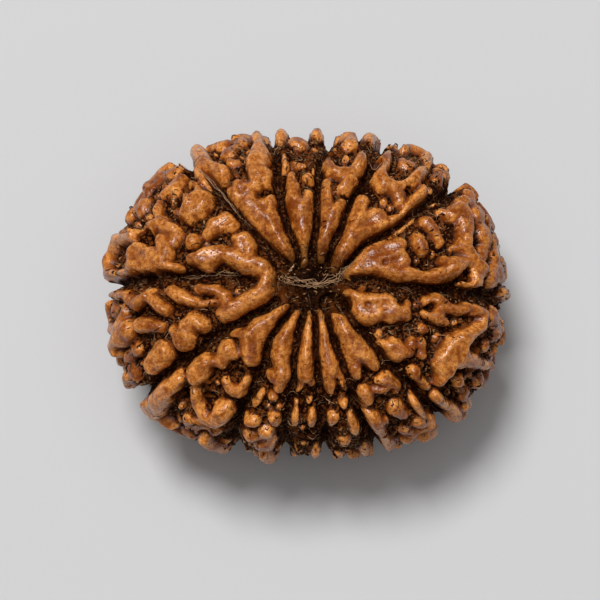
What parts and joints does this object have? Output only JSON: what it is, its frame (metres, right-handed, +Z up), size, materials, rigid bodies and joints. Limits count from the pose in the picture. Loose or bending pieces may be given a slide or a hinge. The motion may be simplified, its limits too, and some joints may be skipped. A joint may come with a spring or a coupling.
{
  "type": "rudraksha seed",
  "caption": "Oval rudraksha seed in one piece, with radial furrows between lobes of knobs and winding ridges, and a hollow at each pole; stands on the tops of its lowest ridges.",
  "frame": {"origin": "middle of the seed's length and width, at the height of the table that it rests on", "axes": "+X along the longest way across the seed, +Y along its width, +Z up, along the line through both poles"},
  "size_m": [0.033, 0.027, 0.021],
  "materials": {
    "shell": "satin"
  },
  "bodies": {
    "root": {"rudraksha_seed": "shell"}
  },
  "joints": []
}
